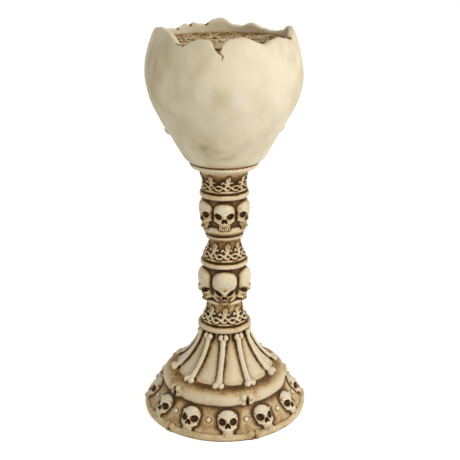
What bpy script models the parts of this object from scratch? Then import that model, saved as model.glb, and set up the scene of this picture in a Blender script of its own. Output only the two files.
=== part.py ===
"""Skull candle holder: a goblet-shaped candle stand cast in one piece of bone-coloured resin.

From the table up: a round foot whose edge is a ring of long bones, a sloping band of skulls and studs,
a plate edged with a second ring of bones, a flared bell that ten bones lean on, a stem of two skull drums
between three bands of knotwork, a flared collar, and a bowl shaped like a braincase with a broken crown.

The casting stands on z = 0 with its axis on Z. Its front, where the bowl's rim is notched, looks along -Y.
"""

import math

import bmesh
import bpy
from mathutils import Matrix, Vector

MM = 0.001

# Foot: the flat underside, and the sloping band that carries the skulls and studs
FOOT_RADIUS = 59.0 * MM
FOOT_EDGE = 6.4 * MM
FOOT_STEP = 2.4 * MM
FOOT_STEP_RISE = 2.2 * MM
BAND_FOOT_RADIUS = FOOT_RADIUS - FOOT_STEP
BAND_FOOT_HEIGHT = FOOT_EDGE + FOOT_STEP_RISE
BAND_SLOPE_WIDTH = 11.8 * MM
BAND_SLOPE_RISE = 12.8 * MM
BAND_TOP_RADIUS = BAND_FOOT_RADIUS - BAND_SLOPE_WIDTH
BAND_TOP_HEIGHT = BAND_FOOT_HEIGHT + BAND_SLOPE_RISE
FOOT_BONE_INSET = 2.0 * MM
FOOT_BONE_CIRCLE = FOOT_RADIUS - FOOT_BONE_INSET
FOOT_BONE_HEIGHT = 5.0 * MM
FOOT_BONE_RADIUS = 4.8 * MM
FOOT_BONES = 5
FOOT_BONE_START = 21.0

# Plate above the band, with a ring of bones for its edge
PLATE_INSET = 2.4 * MM
PLATE_THICKNESS = 8.2 * MM
PLATE_RADIUS = BAND_TOP_RADIUS - PLATE_INSET
PLATE_TOP = BAND_TOP_HEIGHT + PLATE_THICKNESS
PLATE_BONE_RADIUS = 4.6 * MM
PLATE_BONE_INSET = 0.5 * MM
PLATE_BONE_DROP = 3.9 * MM
PLATE_BONE_CIRCLE = PLATE_RADIUS - PLATE_BONE_INSET
PLATE_BONE_HEIGHT = PLATE_TOP - PLATE_BONE_DROP
PLATE_BONES = 5
PLATE_BONE_START = 20.8

# Bell: the concave flare from the plate up to the stem
PLATE_LEDGE = 7.4 * MM
PLATE_CROWN = 0.6 * MM
BELL_FOOT_RADIUS = PLATE_RADIUS - PLATE_LEDGE
BELL_FOOT_HEIGHT = PLATE_TOP + PLATE_CROWN
BELL_TOP_RADIUS = 15.4 * MM
BELL_RISE = 31.8 * MM
BELL_TOP_HEIGHT = BELL_FOOT_HEIGHT + BELL_RISE
BELL_CURVE = 1.75
BELL_BONES = 10
BELL_BONE_START = -4.3
BELL_BONE_LEAN = 4.6
BELL_BONE_RADIUS = 2.1 * MM
BELL_KNOB_RADIUS = 2.6 * MM

# Stem: the rings, drums and bands one on another from the bell up, and the radius of each
COLLAR_GAP = 1.2 * MM
COLLAR_BOTTOM = BELL_TOP_HEIGHT + COLLAR_GAP
COLLAR_DEPTH = 4.4 * MM
COLLAR_TOP = COLLAR_BOTTOM + COLLAR_DEPTH
COLLAR_RADIUS = 19.2 * MM
LOWER_BAND_FOOT_RADIUS = 15.6 * MM
WAIST_RADIUS = 12.4 * MM
LOWER_BAND_HEIGHT = 14.8 * MM
LOWER_DRUM_BOTTOM = COLLAR_TOP + LOWER_BAND_HEIGHT
LOWER_DRUM_HEIGHT = 29.0 * MM
LOWER_DRUM_TOP = LOWER_DRUM_BOTTOM + LOWER_DRUM_HEIGHT
LOWER_DRUM_RADIUS = 15.4 * MM
MIDDLE_RING_DEPTH = 4.6 * MM
MIDDLE_RING_TOP = LOWER_DRUM_TOP + MIDDLE_RING_DEPTH
MIDDLE_RING_RADIUS = 17.2 * MM
MIDDLE_BAND_FOOT_RADIUS = 14.6 * MM
NECK_RADIUS = 10.8 * MM
MIDDLE_BAND_HEIGHT = 15.2 * MM
NECK_TOP = MIDDLE_RING_TOP + MIDDLE_BAND_HEIGHT
NECK_RING_RADIUS = 13.4 * MM
NECK_RING_DEPTH = 5.0 * MM
UPPER_DRUM_BOTTOM = NECK_TOP + NECK_RING_DEPTH
UPPER_DRUM_HEIGHT = 26.0 * MM
UPPER_DRUM_TOP = UPPER_DRUM_BOTTOM + UPPER_DRUM_HEIGHT
UPPER_DRUM_RADIUS = 15.2 * MM
UPPER_RING_DEPTH = 4.8 * MM
UPPER_RING_TOP = UPPER_DRUM_TOP + UPPER_RING_DEPTH
UPPER_RING_RADIUS = 17.4 * MM
UPPER_BAND_FOOT_RADIUS = 14.8 * MM
THROAT_RADIUS = 13.7 * MM
UPPER_BAND_HEIGHT = 12.6 * MM
THROAT_TOP = UPPER_RING_TOP + UPPER_BAND_HEIGHT
LIP_RADIUS = 24.2 * MM
LIP_DEPTH = 7.4 * MM
LIP_TOP = THROAT_TOP + LIP_DEPTH
BEAD = 1.2 * MM

# Skulls, given by the height from the teeth to the crown
BAND_SKULLS = 12
BAND_SKULL_START = 2.6
BAND_SKULL_HEIGHT = 20.2 * MM
BAND_SKULL_DROP = 3.4 * MM
BAND_SKULL_SUNK = 4.5 * MM
BAND_SKULL_LEAN = 37.0
STUD_RADIUS = 2.2 * MM
UPPER_SKULLS = 6
UPPER_SKULL_HEIGHT = 19.0 * MM
UPPER_SKULL_RISE = 15.6 * MM
UPPER_SKULL_EYES = UPPER_DRUM_BOTTOM + UPPER_SKULL_RISE
UPPER_SKULL_BOW = -8.0
LOWER_SKULLS = 5
LOWER_SKULL_HEIGHT = 24.0 * MM
LOWER_SKULL_RISE = 14.2 * MM
LOWER_SKULL_EYES = LOWER_DRUM_BOTTOM + LOWER_SKULL_RISE
LOWER_SKULL_BOW = 12.0
DRUM_SKULL_PROUD = 3.6 * MM

# Knotwork: a strand round each band of the stem, and a leaf over each of its peaks
KNOTS = 8
STRAND_RADIUS = 0.9 * MM
LEAF_HALF_WIDTH = 2.3 * MM

# Bowl: a braincase, a little deeper from front to back than it is wide
BOWL_SUNK = 1.0 * MM
BOWL_BOTTOM = LIP_TOP - BOWL_SUNK
BOWL_SEAT_RADIUS = 22.6 * MM
BOWL_BELLY_RISE = 59.5 * MM
BOWL_BELLY_HEIGHT = BOWL_BOTTOM + BOWL_BELLY_RISE
BOWL_BELLY_RADIUS = 53.3 * MM
BOWL_RIM_RISE = 28.5 * MM
BOWL_RIM_HEIGHT = BOWL_BELLY_HEIGHT + BOWL_RIM_RISE
BOWL_RIM_RADIUS = 47.0 * MM
BOWL_DEPTH_RATIO = 1.04
RIM_WALL = 4.0 * MM
DISH_DEPTH = 8.0 * MM
DISH_FLOOR = BOWL_RIM_HEIGHT - DISH_DEPTH
DISH_RISE = 2.0 * MM
DISH_ROOTS = 7
ROOT_RADIUS = 1.5 * MM
ROOT_BEND = 1.8 * MM
CHEEK_RISE = 23.5 * MM
CHEEK_HEIGHT = BOWL_BOTTOM + CHEEK_RISE
CHEEK_REACH = 37.0 * MM

# The broken rim: how far it stands above or below its mean height, in millimetres, at angles from the front
RIM_BREAK = (
    (-180, 6.0), (-161, 1.5), (-150, 3.0), (-133, -0.4), (-108, 1.5), (-80, 4.5), (-58, 4.5), (-33, -2.0),
    (-20, 0.6), (-11, -0.8), (-4, -5.5), (4, 0.0), (14, 2.0), (32, -3.0), (46, 0.0), (62, -1.5), (82, 4.0),
    (104, 3.0), (124, -1.5), (143, -1.0), (152, 2.5), (165, 0.0),
)

FOOT_SEGMENTS = 30
STEM_SEGMENTS = 20
BOWL_SEGMENTS = 36
SKULL_FINENESS = 0.85
BONE_FINENESS = 0.6
CASTING_FINENESS = 0.72


def clear_scene():
    for obj in list(bpy.data.objects):
        bpy.data.objects.remove(obj, do_unlink=True)


def new_collection(name, shown=True):
    collection = bpy.data.collections.new(name)
    bpy.context.scene.collection.children.link(collection)
    collection.hide_render = not shown
    return collection


def as_helper(obj):
    """Marks an operand, which isn't shown by itself."""
    obj.hide_render = True
    obj.display_type = "WIRE"
    return obj


def place(obj, collection):
    for old in list(obj.users_collection):
        old.objects.unlink(obj)
    collection.objects.link(obj)
    return obj


def frozen(obj, collection, name):
    """The object as its modifiers leave it, as a plain closed mesh in world space."""
    bpy.context.view_layer.update()
    evaluated = obj.evaluated_get(bpy.context.evaluated_depsgraph_get())
    mesh = bpy.data.meshes.new_from_object(evaluated)
    mesh.transform(obj.matrix_world)
    bm = bmesh.new()
    bm.from_mesh(mesh)
    bmesh.ops.remove_doubles(bm, verts=bm.verts, dist=1e-6)
    bmesh.ops.recalc_face_normals(bm, faces=bm.faces)
    bm.to_mesh(mesh)
    bm.free()
    bpy.data.objects.remove(obj, do_unlink=True)
    return as_helper(place(bpy.data.objects.new(name, mesh), collection))


def turned(name, profile, segments, collection):
    """A turned solid, from (radius, height) points that run from the top of the axis down the side."""
    bm = bmesh.new()
    points = [bm.verts.new((radius, 0.0, height)) for radius, height in profile]
    for upper, lower in zip(points, points[1:]):
        bm.edges.new((upper, lower))
    mesh = bpy.data.meshes.new(name)
    bm.to_mesh(mesh)
    bm.free()
    obj = place(bpy.data.objects.new(name, mesh), collection)
    screw = obj.modifiers.new("turn", "SCREW")
    screw.axis = "Z"
    screw.steps = screw.render_steps = segments
    screw.use_merge_vertices = True
    screw.merge_threshold = 1e-5
    return frozen(obj, collection, name)


def ellipsoid(name, centre, radii, collection, turn=0.0, fineness=1):
    """A faceted ellipsoid, turned about Y by the given angle."""
    bm = bmesh.new()
    bmesh.ops.create_icosphere(bm, subdivisions=fineness, radius=1.0)
    bm.transform(Matrix.Translation(centre) @ Matrix.Rotation(turn, 4, "Y") @ Matrix.Diagonal((*radii, 1.0)))
    mesh = bpy.data.meshes.new(name)
    bm.to_mesh(mesh)
    bm.free()
    return as_helper(place(bpy.data.objects.new(name, mesh), collection))


def tube(name, points, radii, collection, resolution=0, closed=False):
    """A bar along the points, as thick at each as its radius says."""
    data = bpy.data.curves.new(name, "CURVE")
    data.dimensions = "3D"
    data.bevel_depth = 1.0
    data.bevel_resolution = resolution
    data.use_fill_caps = not closed
    spline = data.splines.new("POLY")
    spline.points.add(len(points) - 1)
    for knot, point, radius in zip(spline.points, points, radii):
        knot.co = (*point, 1.0)
        knot.radius = radius
    spline.use_cyclic_u = closed
    return frozen(place(bpy.data.objects.new(name, data), collection), collection, name)


def boolean(target, operands, operation, collection, name):
    """Joins or cuts the target with every object of a collection."""
    modifier = target.modifiers.new(operation.lower(), "BOOLEAN")
    modifier.operation = operation
    modifier.solver = "EXACT"
    modifier.operand_type = "COLLECTION"
    modifier.collection = operands
    return frozen(target, collection, name)


def thinned(obj, share, collection):
    """The object with the given share of its triangles, the small ones along its seams gone first."""
    modifier = obj.modifiers.new("thin", "DECIMATE")
    modifier.ratio = share
    return frozen(obj, collection, obj.name)


def copies(master, transforms, collection):
    """The master's mesh set down once for each transform, and the master itself removed."""
    for number, transform in enumerate(transforms):
        obj = bpy.data.objects.new(f"{master.name}_{number}", master.data)
        obj.matrix_world = transform
        as_helper(place(obj, collection))
    bpy.data.objects.remove(master, do_unlink=True)


def around(angle):
    """A turn about the axis. Angle 0 is the front, and it grows to the right as seen from there."""
    return Matrix.Rotation(math.radians(angle), 4, "Z")


def bell_radius(height):
    share = (height - BELL_FOOT_HEIGHT) / (BELL_TOP_HEIGHT - BELL_FOOT_HEIGHT)
    share = min(max(share, 0.0), 1.0)
    return BELL_TOP_RADIUS + (BELL_FOOT_RADIUS - BELL_TOP_RADIUS) * (1.0 - share) ** BELL_CURVE


def foot_core(collection):
    steps = 4
    span = BELL_TOP_HEIGHT - BELL_FOOT_HEIGHT
    inside_collar = (COLLAR_BOTTOM + COLLAR_TOP) / 2
    profile = [(0.0, inside_collar), (BELL_TOP_RADIUS * 0.98, inside_collar)]
    for step in range(steps + 1):
        height = BELL_TOP_HEIGHT - span * step / steps
        profile.append((bell_radius(height), height))
    profile += [
        (PLATE_RADIUS, PLATE_TOP),
        (PLATE_RADIUS, BAND_TOP_HEIGHT + 1.0 * MM),
        (BAND_TOP_RADIUS, BAND_TOP_HEIGHT),
        (BAND_FOOT_RADIUS, BAND_FOOT_HEIGHT),
        (FOOT_RADIUS, FOOT_EDGE),
        (FOOT_RADIUS, 0.0),
        (0.0, 0.0),
    ]
    return turned("foot", profile, FOOT_SEGMENTS, collection)


def ring(bottom, top, radius):
    """A rounded ring of the stem's profile, from its top edge down."""
    edge = (top - bottom) * 0.25
    return [(radius - edge, top), (radius, top - edge), (radius, bottom + edge), (radius - edge, bottom)]


def bead(height, radius):
    """The thin bead over a groove that ends a knotwork band."""
    return [(radius, height + 2 * BEAD), (radius + BEAD, height + BEAD * 1.2), (radius, height)]


def stem_core(collection):
    profile = [(0.0, LIP_TOP), (LIP_RADIUS - BEAD, LIP_TOP), (LIP_RADIUS, LIP_TOP - BEAD)]
    profile += [(LIP_RADIUS - 2 * BEAD, LIP_TOP - 3.2 * BEAD)]
    profile += [(THROAT_RADIUS + 3.4 * BEAD, THROAT_TOP + BEAD)]
    profile += [(THROAT_RADIUS + BEAD, THROAT_TOP - 2 * BEAD), (THROAT_RADIUS, THROAT_TOP - 6 * BEAD)]
    profile += bead(UPPER_RING_TOP, UPPER_BAND_FOOT_RADIUS)
    profile += ring(UPPER_DRUM_TOP, UPPER_RING_TOP, UPPER_RING_RADIUS)
    profile += [(UPPER_DRUM_RADIUS, UPPER_DRUM_TOP - 5 * BEAD)]
    profile += [(UPPER_DRUM_RADIUS, UPPER_DRUM_BOTTOM + 9 * BEAD)]
    profile += [(NECK_RING_RADIUS + 1.4 * BEAD, UPPER_DRUM_BOTTOM + 4 * BEAD)]
    profile += [(NECK_RING_RADIUS + BEAD, UPPER_DRUM_BOTTOM + BEAD), (NECK_RADIUS + BEAD, UPPER_DRUM_BOTTOM)]
    profile += [(NECK_RING_RADIUS, NECK_TOP + 2.2 * BEAD), (NECK_RADIUS, NECK_TOP)]
    profile += [(NECK_RADIUS, NECK_TOP - 4 * BEAD)]
    profile += [(NECK_RADIUS * 1.14, (NECK_TOP + MIDDLE_RING_TOP) / 2)]
    profile += bead(MIDDLE_RING_TOP, MIDDLE_BAND_FOOT_RADIUS)
    profile += ring(LOWER_DRUM_TOP, MIDDLE_RING_TOP, MIDDLE_RING_RADIUS)
    profile += [(LOWER_DRUM_RADIUS, LOWER_DRUM_TOP - 6 * BEAD)]
    profile += [(LOWER_DRUM_RADIUS, LOWER_DRUM_BOTTOM + 9 * BEAD)]
    profile += [(WAIST_RADIUS + 2.2 * BEAD, LOWER_DRUM_BOTTOM + 4 * BEAD)]
    profile += [(WAIST_RADIUS + 1.6 * BEAD, LOWER_DRUM_BOTTOM + BEAD), (WAIST_RADIUS, LOWER_DRUM_BOTTOM)]
    profile += [(WAIST_RADIUS, LOWER_DRUM_BOTTOM - 4 * BEAD)]
    profile += bead(COLLAR_TOP, LOWER_BAND_FOOT_RADIUS)
    profile += ring(COLLAR_BOTTOM, COLLAR_TOP, COLLAR_RADIUS)
    profile += [(0.0, COLLAR_BOTTOM)]
    return turned("stem", profile, STEM_SEGMENTS, collection)


def rim_offset(angle):
    """The broken edge's height against the rim's mean height, at an angle from the front in degrees."""
    start = RIM_BREAK[0]
    closed = (*RIM_BREAK, (start[0] + 360, start[1]))
    if angle < start[0]:
        angle += 360
    for (low, before), (high, after) in zip(closed, closed[1:]):
        if angle <= high:
            share = (angle - low) / (high - low)
            return (before + (after - before) * share) * MM
    return start[1] * MM


def bowl(carvings, workshop):
    """The braincase: turned, stretched front to back, and its rim raised and lowered where it broke."""
    rise = BOWL_BELLY_HEIGHT - BOWL_BOTTOM
    lid = BOWL_RIM_HEIGHT - BOWL_BELLY_HEIGHT
    taper = BOWL_BELLY_RADIUS - BOWL_RIM_RADIUS
    dish_edge = BOWL_RIM_RADIUS - RIM_WALL * 1.4
    profile = [(0.0, DISH_FLOOR), (dish_edge * 0.6, DISH_FLOOR + DISH_RISE * 0.3)]
    profile += [(dish_edge, DISH_FLOOR + DISH_RISE), (BOWL_RIM_RADIUS - RIM_WALL, BOWL_RIM_HEIGHT)]
    for share in (1.0, 0.7, 0.36):
        profile.append((BOWL_BELLY_RADIUS - taper * share**2, BOWL_BELLY_HEIGHT + lid * share))
    below_belly = ((1.0, 1.0), (0.77, 0.965), (0.57, 0.87), (0.38, 0.715), (0.2, 0.605), (0.07, 0.515))
    profile += [(BOWL_BELLY_RADIUS * width, BOWL_BOTTOM + rise * share) for share, width in below_belly]
    profile += [(BOWL_SEAT_RADIUS, BOWL_BOTTOM - 1.0 * MM), (0.0, BOWL_BOTTOM - 1.0 * MM)]
    blank = turned("bowl", profile, BOWL_SEGMENTS, workshop)
    for vertex in blank.data.vertices:
        point = vertex.co
        reach = (point.z - BOWL_BELLY_HEIGHT) / lid
        if reach > 0.0 and math.hypot(point.x, point.y) > dish_edge * 1.01:
            point.z += rim_offset(math.degrees(math.atan2(point.x, -point.y))) * reach**3
        stretch = min(max((point.z - LIP_TOP) / rise, 0.0), 1.0)
        point.y *= 1.0 + (BOWL_DEPTH_RATIO - 1.0) * stretch
    place(blank, carvings)
    for side in (-1, 1):
        spot = (side * CHEEK_REACH, CHEEK_REACH * 0.12, CHEEK_HEIGHT)
        radii = (5.0 * MM, 7.0 * MM, 3.4 * MM)
        ellipsoid(f"bowl_cheek_{side}", spot, radii, carvings, turn=side * 0.3, fineness=2)


def roots(carvings):
    """The thickest of the roots matted over the dish: they wind across it side by side, from wall to wall."""
    edge = BOWL_RIM_RADIUS - RIM_WALL * 1.4
    for k in range(DISH_ROOTS):
        aside = edge * (1.6 * (k + 0.5) / DISH_ROOTS - 0.8)
        half = math.sqrt(edge**2 - aside**2)
        points = []
        for step in range(5):
            along = half * (step - 2) / 2
            across = aside + ROOT_BEND * (-1) ** (step + k) * (0 < step < 4)
            rise = DISH_RISE * (along**2 + across**2) / edge**2
            points.append(Vector((along, across, DISH_FLOOR + rise)))
        tube(f"root_{k}", points, [ROOT_RADIUS] * 5, carvings)


def skull(name, height, workshop):
    """One small skull without its lower jaw. It faces -Y, with the origin behind its eyes."""
    unit = height / 20.0
    parts = new_collection(name + "_parts", shown=False)
    holes = new_collection(name + "_holes", shown=False)
    radii = (8.4 * unit, 7.2 * unit, 7.4 * unit)
    cranium = ellipsoid(name, (0.0, 0.0, 2.0 * unit), radii, workshop, fineness=2)
    heights = (2.4, -1.8, -4.6, -8.2)
    face = [(0.0, -1.6 * unit, height * unit) for height in heights]
    tube(name + "_face", face, [size * unit for size in (6.8, 7.2, 5.4, 4.6)], parts, resolution=2)
    for side in (-1, 1):
        spot = (side * 3.9 * unit, -9.2 * unit, -0.3 * unit)
        ellipsoid(f"{name}_eye_{side}", spot, (3.9 * unit, 6.4 * unit, 3.5 * unit), holes, turn=side * 0.35)
    nose = [(0.0, -10.0 * unit, -4.2 * unit), (0.0, -5.4 * unit, -4.2 * unit)]
    tube(name + "_nose", nose, (2.1 * unit, 1.7 * unit), holes)
    whole = boolean(cranium, parts, "UNION", workshop, name)
    carved = boolean(whole, holes, "DIFFERENCE", workshop, name)
    return thinned(carved, SKULL_FINENESS, workshop)


def skulls(carvings, workshop):
    slope = math.atan2(BAND_FOOT_RADIUS - BAND_TOP_RADIUS, BAND_TOP_HEIGHT - BAND_FOOT_HEIGHT)
    outward = Vector((0.0, -math.cos(slope), math.sin(slope)))
    down = Vector((0.0, -math.sin(slope), -math.cos(slope)))
    middle_radius = (BAND_FOOT_RADIUS + BAND_TOP_RADIUS) / 2
    middle = Vector((0.0, -middle_radius, (BAND_FOOT_HEIGHT + BAND_TOP_HEIGHT) / 2))
    pitch = 360.0 / BAND_SKULLS
    seat = middle + down * BAND_SKULL_DROP - outward * BAND_SKULL_SUNK
    stand = Matrix.Translation(seat) @ Matrix.Rotation(-math.radians(BAND_SKULL_LEAN), 4, "X")
    spots = [around(BAND_SKULL_START + pitch * k) @ stand for k in range(BAND_SKULLS)]
    copies(skull("band_skull", BAND_SKULL_HEIGHT, workshop), spots, carvings)
    for k in range(BAND_SKULLS):
        spot = around(BAND_SKULL_START + pitch * (k + 0.5)) @ middle
        ellipsoid(f"stud_{k}", spot, (STUD_RADIUS,) * 3, carvings)
    upper = (UPPER_SKULLS, UPPER_SKULL_HEIGHT, UPPER_SKULL_EYES, UPPER_DRUM_RADIUS, UPPER_SKULL_BOW)
    lower = (LOWER_SKULLS, LOWER_SKULL_HEIGHT, LOWER_SKULL_EYES, LOWER_DRUM_RADIUS, LOWER_SKULL_BOW)
    for name, (count, height, eyes, radius, bow) in (("upper_skull", upper), ("lower_skull", lower)):
        centre = Vector((0.0, -(radius + DRUM_SKULL_PROUD - height * 7.4 / 20.0), eyes))
        stand = Matrix.Translation(centre) @ Matrix.Rotation(math.radians(bow), 4, "X")
        spots = [around(360.0 / count * k) @ stand for k in range(count)]
        copies(skull(name, height, workshop), spots, carvings)


def knobbed(shaft, ends, across, radius, workshop):
    """The shaft with two knobs side by side at each end; an end is its (point, direction outwards)."""
    knobs = new_collection(shaft.name + "_knobs", shown=False)
    for number, (point, outwards) in enumerate(ends):
        for side in (-1, 1):
            spot = point - outwards * radius * 0.4 + across * radius * 0.9 * side
            ellipsoid(f"{shaft.name}_knob_{number}_{side}", spot, (radius,) * 3, knobs)
    return thinned(boolean(shaft, knobs, "UNION", workshop, shaft.name), BONE_FINENESS, workshop)


def bones(carvings, workshop):
    """The ten bones that lean on the bell, and the two rings of bones laid end to end."""
    top = COLLAR_BOTTOM - BELL_KNOB_RADIUS * 0.7
    bottom = BELL_FOOT_HEIGHT + BELL_KNOB_RADIUS * 0.5
    steps = 4
    centres = []
    for step in range(steps + 1):
        share = step / steps
        height = top + (bottom - top) * share
        lean = around(BELL_BONE_LEAN * (0.5 - share))
        centres.append(lean @ Vector((0.0, -bell_radius(height) - BELL_BONE_RADIUS * 0.6, height)))
    sizes = [BELL_BONE_RADIUS * swell for swell in (1.25, 1.0, 0.95, 1.05, 1.35)]
    shaft = tube("bell_bone", centres, sizes, workshop, resolution=1)
    ends = []
    for end, inner in ((centres[0], centres[1]), (centres[-1], centres[-2])):
        ends.append((end, (end - inner).normalized()))
    bone = knobbed(shaft, ends, Vector((1.0, 0.0, 0.0)), BELL_KNOB_RADIUS, workshop)
    spots = [around(BELL_BONE_START + 360.0 / BELL_BONES * k) for k in range(BELL_BONES)]
    copies(bone, spots, carvings)

    plate = (PLATE_BONE_CIRCLE, PLATE_BONE_HEIGHT, PLATE_BONE_RADIUS, PLATE_BONES, PLATE_BONE_START)
    foot = (FOOT_BONE_CIRCLE, FOOT_BONE_HEIGHT, FOOT_BONE_RADIUS, FOOT_BONES, FOOT_BONE_START)
    for name, (circle, height, radius, count, start) in (("plate_bone", plate), ("foot_bone", foot)):
        reach = 180.0 / count - math.degrees(radius * 0.7 / circle)
        steps = 4
        centres = []
        sizes = []
        for step in range(steps + 1):
            share = 2 * step / steps - 1
            centres.append(around(reach * share) @ Vector((0.0, -circle, height)))
            sizes.append(radius * (0.84 + 0.12 * share**2))
        shaft = tube(name, centres, sizes, workshop, resolution=1)
        ends = []
        for end, inner in ((centres[0], centres[1]), (centres[-1], centres[-2])):
            outwards = Vector((end.x, end.y, 0.0)).normalized()
            ends.append((end + outwards * radius * 0.44, (end - inner).normalized()))
        bone = knobbed(shaft, ends, Vector((0.0, 0.0, 1.0)), radius * 0.52, workshop)
        copies(bone, [around(start + 360.0 / count * (k + 0.5)) for k in range(count)], carvings)


def knotwork(carvings):
    """On each band of the stem: a strand that zigzags round it, and a leaf over each peak."""
    upper = (UPPER_RING_TOP + 2 * BEAD, THROAT_TOP, UPPER_BAND_FOOT_RADIUS, THROAT_RADIUS)
    middle = (MIDDLE_RING_TOP + 2 * BEAD, NECK_TOP, MIDDLE_BAND_FOOT_RADIUS, NECK_RADIUS)
    lower = (COLLAR_TOP + 2 * BEAD, LOWER_DRUM_BOTTOM, LOWER_BAND_FOOT_RADIUS, WAIST_RADIUS)
    bands = (
        ("upper", upper, 8.6, 2.6),
        ("middle", middle, 9.0, 0.2),
        ("lower", lower, 0.0, 0.2),
    )
    for name, (bottom, top, foot_radius, top_radius), start, flare in bands:
        span = top - bottom
        low = bottom + span * 0.1
        high = bottom + span * 0.46
        points = []
        for step in range(2 * KNOTS):
            up = step % 2 == 0
            radius = (top_radius * 1.03 if up else foot_radius) + STRAND_RADIUS * 0.3
            height = high if up else low
            points.append(around(start + 180.0 / KNOTS * step) @ Vector((0.0, -radius, height)))
        tube(f"strand_{name}", points, [STRAND_RADIUS] * len(points), carvings, closed=True)
        leaf = (LEAF_HALF_WIDTH * 0.86, 1.5 * MM, span * 0.3)
        tilt = math.atan2(flare * MM - (foot_radius - top_radius) * 0.35, span * 0.6)
        for k in range(KNOTS):
            spot = Vector((0.0, -top_radius - flare * 0.3 * MM - 0.2 * MM, bottom + span * 0.68))
            obj = ellipsoid(f"leaf_{name}_{k}", (0.0, 0.0, 0.0), leaf, carvings)
            stand = Matrix.Translation(spot) @ Matrix.Rotation(tilt, 4, "X")
            obj.matrix_world = around(start + 360.0 / KNOTS * k) @ stand


def resin():
    material = bpy.data.materials.new("aged_ivory_resin")
    material.use_nodes = True
    shader = material.node_tree.nodes["Principled BSDF"]
    shader.inputs["Base Color"].default_value = (0.70, 0.60, 0.43, 1.0)
    shader.inputs["Roughness"].default_value = 0.55
    return material


def build():
    clear_scene()
    casting = new_collection("skull_candle_holder")
    workshop = new_collection("workshop", shown=False)
    carvings = new_collection("carvings", shown=False)
    place(stem_core(workshop), carvings)
    bowl(carvings, workshop)
    skulls(carvings, workshop)
    bones(carvings, workshop)
    knotwork(carvings)
    roots(carvings)
    whole = boolean(foot_core(workshop), carvings, "UNION", workshop, "candle_holder")
    whole = thinned(whole, CASTING_FINENESS, casting)
    whole.hide_render = False
    whole.display_type = "TEXTURED"
    whole.data.materials.clear()
    whole.data.materials.append(resin())
    for face in whole.data.polygons:
        face.use_smooth = True


build()
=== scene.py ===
import math

import bpy
import numpy as np
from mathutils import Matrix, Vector


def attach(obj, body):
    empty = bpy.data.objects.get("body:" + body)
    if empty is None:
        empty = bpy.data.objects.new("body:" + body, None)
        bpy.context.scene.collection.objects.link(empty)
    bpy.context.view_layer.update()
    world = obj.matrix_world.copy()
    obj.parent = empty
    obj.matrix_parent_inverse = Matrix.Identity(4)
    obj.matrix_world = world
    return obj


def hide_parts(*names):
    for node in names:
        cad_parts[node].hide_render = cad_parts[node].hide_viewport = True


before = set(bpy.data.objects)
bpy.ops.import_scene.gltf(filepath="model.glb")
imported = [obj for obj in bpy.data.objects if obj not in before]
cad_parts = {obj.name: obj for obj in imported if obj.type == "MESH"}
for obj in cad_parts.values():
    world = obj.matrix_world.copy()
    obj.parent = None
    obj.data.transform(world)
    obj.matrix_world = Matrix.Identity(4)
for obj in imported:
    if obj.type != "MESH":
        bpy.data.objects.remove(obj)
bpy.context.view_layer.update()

# Skull band
# The sloping band above the foot, with twelve small skulls and a ringed stud between each two. It is part of the one
# resin casting, painted ivory and rubbed with a brown wash that stays in the hollows. The hollows, the ground round the
# skulls and the ground under the plate are also darkened with painted shade.
rng = np.random.default_rng(7)
grain_table = rng.random((32, 32, 32)).astype(np.float32)


def grain(x, y, z, size):
    """Soft lumps from 0 to 1, about as large as the size given."""
    parts = []
    for value in (x, y, z):
        scaled = np.asarray(value, dtype=np.float32) / size + 64.0
        whole = np.floor(scaled)
        part = scaled - whole
        parts.append((whole.astype(np.int32) & 31, part * part * (3.0 - 2.0 * part)))
    (ix, fx), (iy, fy), (iz, fz) = parts
    total = 0.0
    for dx, wx in ((0, 1.0 - fx), (1, fx)):
        for dy, wy in ((0, 1.0 - fy), (1, fy)):
            for dz, wz in ((0, 1.0 - fz), (1, fz)):
                total = total + grain_table[(ix + dx) & 31, (iy + dy) & 31, (iz + dz) & 31] * wx * wy * wz
    return total


def join(a, b, soft):
    """Two forms grown together, with a fillet about as wide as soft.

    A form is how far each point lies from a carved surface, in millimetres, and negative inside it.
    """
    near = np.maximum(soft - np.abs(a - b), 0.0) / soft
    return np.minimum(a, b) - near * near * soft * 0.25


def cut(a, b, soft):
    """The first form with the second scooped out of it."""
    return -join(-a, b, soft)


def pebble(x, y, z, centre, radii, lean=0.0):
    """An ellipsoid, leant sideways by an angle in degrees."""
    px, py, pz = x - centre[0], y - centre[1], z - centre[2]
    if lean:
        c, s = math.cos(math.radians(lean)), math.sin(math.radians(lean))
        px, pz = c * px + s * pz, c * pz - s * px
    qx, qy, qz = px / radii[0], py / radii[1], pz / radii[2]
    size = np.sqrt(qx * qx + qy * qy + qz * qz) + 1e-6
    slope = np.sqrt((qx / radii[0]) ** 2 + (qy / radii[1]) ** 2 + (qz / radii[2]) ** 2) + 1e-6
    return size * (size - 1.0) / slope


def rod(x, y, z, start, end, thick, thick_end=None):
    """A round rod between two points, which may taper."""
    thick_end = thick if thick_end is None else thick_end
    along = [end[i] - start[i] for i in range(3)]
    length = along[0] ** 2 + along[1] ** 2 + along[2] ** 2
    px, py, pz = x - start[0], y - start[1], z - start[2]
    share = np.clip((px * along[0] + py * along[1] + pz * along[2]) / length, 0.0, 1.0)
    dx, dy, dz = px - share * along[0], py - share * along[1], pz - share * along[2]
    return np.sqrt(dx * dx + dy * dy + dz * dz) - (thick + (thick_end - thick) * share)


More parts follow.
